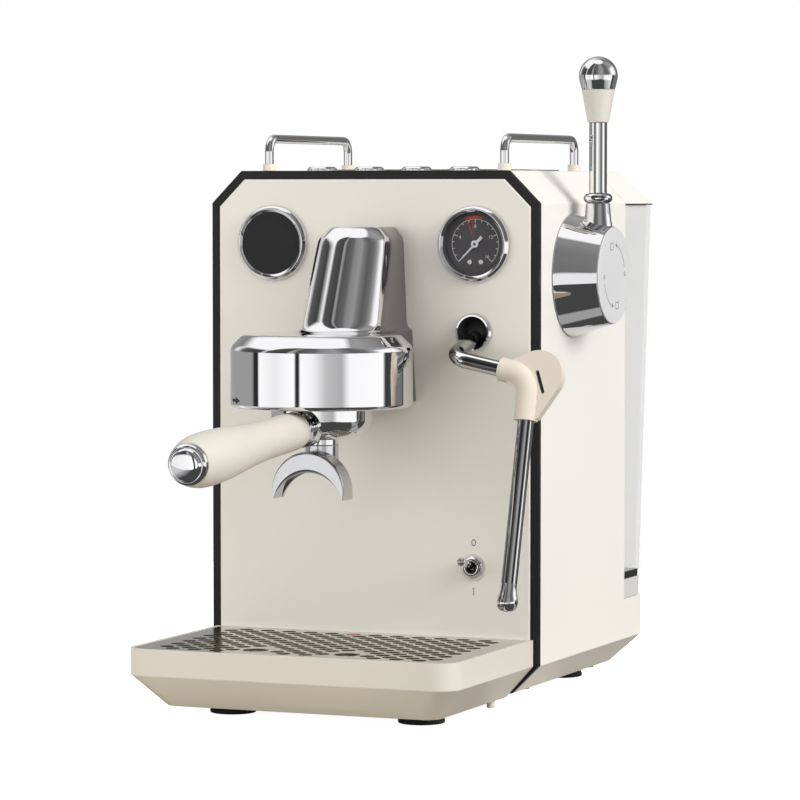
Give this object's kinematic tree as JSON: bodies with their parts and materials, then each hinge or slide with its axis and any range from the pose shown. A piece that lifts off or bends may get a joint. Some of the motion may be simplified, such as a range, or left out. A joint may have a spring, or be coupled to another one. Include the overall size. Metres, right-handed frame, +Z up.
{
  "type": "espresso machine",
  "caption": "Cream and chrome home espresso machine with lever steam valve, portafilter, steam wand, drip tray, round gauges, cup rails and rear water tank.",
  "frame": {"origin": "on the counter, under the middle of the machine's outline in X and Y", "axes": "+Z up, -Y towards the user, +X to the user's right, where the lever is"},
  "size_m": [0.2851, 0.5523, 0.4545],
  "materials": {
    "cream_panel": "satin enamel",
    "cream_shell": "satin enamel",
    "cream_plastic": "smooth moulding",
    "handle_cream": "polished",
    "grip_beige": "soft moulding",
    "trim_black": "satin",
    "dark_plastic": "satin",
    "screen_black": "polished",
    "dial_grey": "matt print",
    "needle_white": "matt",
    "chrome": "polished",
    "steel": "brushed",
    "face_silver": "satin",
    "brass": "machined",
    "clear_tank": "clear moulding",
    "lens_clear": "clear",
    "float_red": "smooth",
    "rubber": "matt",
    "board_green": "lacquered"
  },
  "bodies": {
    "casing": {"trim_frame": "trim_black", "front_panel": "cream_panel", "body_shell": "cream_shell", "rear_panel": "cream_shell", "chassis": "steel", "chassis_screws": "steel", "rubber_feet": "rubber", "tank_coupling": "dark_plastic", "cup_shelf": "steel", "cup_rails": "chrome", "rail_ferrules": "cream_plastic", "button_rings": "chrome", "button_board": "board_green", "gauge_bezels": "chrome", "display_case": "dark_plastic", "display_screen": "screen_black", "gauge_case": "dial_grey", "gauge_lens": "lens_clear", "switch_washer": "cream_plastic", "switch_nut": "chrome", "switch_body": "dark_plastic", "group_head": "brass", "group_bell": "chrome", "group_tower": "chrome", "bayonet_ring": "chrome", "group_gasket": "rubber", "shower_screen": "steel", "steam_housing": "chrome", "steam_valve": "brass", "boiler": "brass", "power_inlet": "dark_plastic"},
    "portafilter": {"portafilter_body": "chrome", "filter_basket": "steel", "double_spout": "chrome", "portafilter_handle": "handle_cream", "handle_cap": "chrome"},
    "steam_ball": {"steam_ball": "dark_plastic"},
    "steam_wand": {"steam_arm": "chrome", "steam_grip": "grip_beige", "steam_tip": "chrome"},
    "power_switch": {"switch_bat": "chrome"},
    "valve_lever": {"lever_drum": "chrome", "lever_face": "face_silver", "lever_rod": "chrome", "lever_cone": "cream_plastic", "lever_knob": "chrome"},
    "button_1": {"button_1": "chrome"},
    "button_2": {"button_2": "chrome"},
    "button_3": {"button_3": "chrome"},
    "button_4": {"button_4": "chrome"},
    "drip_tray": {"drip_tray": "cream_plastic", "drain_plug": "cream_plastic"},
    "drip_grid": {"drip_grid": "steel"},
    "tray_float": {"tray_float": "float_red"},
    "water_tank": {"water_tank": "clear_tank", "tank_foot": "cream_plastic", "tank_band": "dark_plastic", "tank_valve": "dark_plastic"},
    "tank_lid": {"tank_lid": "cream_shell"},
    "gauge_needle": {"gauge_needle": "needle_white"}
  },
  "joints": [
    {"name": "portafilter_turn", "type": "hinge", "parent": "casing", "child": "portafilter", "pos_m": [-0.01755, -0.05757, 0.2224], "axis": [0, 0, 1], "range_deg": [-50, 0]},
    {"name": "steam_yaw", "type": "hinge", "parent": "casing", "child": "steam_ball", "pos_m": [0.05945, 0.04543, 0.261], "axis": [0, 0, 1], "range_deg": [-12, 12]},
    {"name": "steam_roll", "type": "hinge", "parent": "steam_ball", "child": "steam_wand", "pos_m": [0.05945, 0.04543, 0.261], "axis": [0, -0.9641, -0.2656], "range_deg": [-10, 70]},
    {"name": "switch_tilt", "type": "hinge", "parent": "casing", "child": "power_switch", "pos_m": [0.05945, 0.02943, 0.0965], "axis": [1, 0, 0], "range_deg": [0, 30]},
    {"name": "valve_lever_turn", "type": "hinge", "parent": "casing", "child": "valve_lever", "pos_m": [0.10805, 0.10163, 0.3], "axis": [1, 0, 0], "range_deg": [-45, 45]},
    {"name": "drip_tray_slide", "type": "slide", "parent": "casing", "child": "drip_tray", "axis": [0, -1, 0], "range_m": [0, 0.165]},
    {"name": "drip_grid_lift", "type": "slide", "parent": "drip_tray", "child": "drip_grid", "axis": [0, 0, 1], "range_m": [0, 0.015]},
    {"name": "tray_float_rise", "type": "slide", "parent": "drip_tray", "child": "tray_float", "axis": [0, 0, 1], "range_m": [0, 0.008]},
    {"name": "water_tank_lift", "type": "slide", "parent": "casing", "child": "water_tank", "axis": [0, 0, 1], "range_m": [0, 0.1]},
    {"name": "tank_lid_lift", "type": "slide", "parent": "water_tank", "child": "tank_lid", "axis": [0, 0, 1], "range_m": [0, 0.05]},
    {"name": "gauge_needle_turn", "type": "hinge", "parent": "casing", "child": "gauge_needle", "pos_m": [0.05945, 0.03363, 0.3226], "axis": [0, 1, 0], "range_deg": [0, 270], "stiffness_Nm_per_rad": 0.0004, "springref_deg": -11.46},
    {"name": "button_1_press", "type": "slide", "parent": "casing", "child": "button_1", "axis": [0, 0, -1], "range_m": [0, 0.0015], "stiffness_N_per_m": 400, "springref_m": -0.0008},
    {"name": "button_2_press", "type": "slide", "parent": "casing", "child": "button_2", "axis": [0, 0, -1], "range_m": [0, 0.0015], "stiffness_N_per_m": 400, "springref_m": -0.0008},
    {"name": "button_3_press", "type": "slide", "parent": "casing", "child": "button_3", "axis": [0, 0, -1], "range_m": [0, 0.0015], "stiffness_N_per_m": 400, "springref_m": -0.0008},
    {"name": "button_4_press", "type": "slide", "parent": "casing", "child": "button_4", "axis": [0, 0, -1], "range_m": [0, 0.0015], "stiffness_N_per_m": 400, "springref_m": -0.0008}
  ]
}
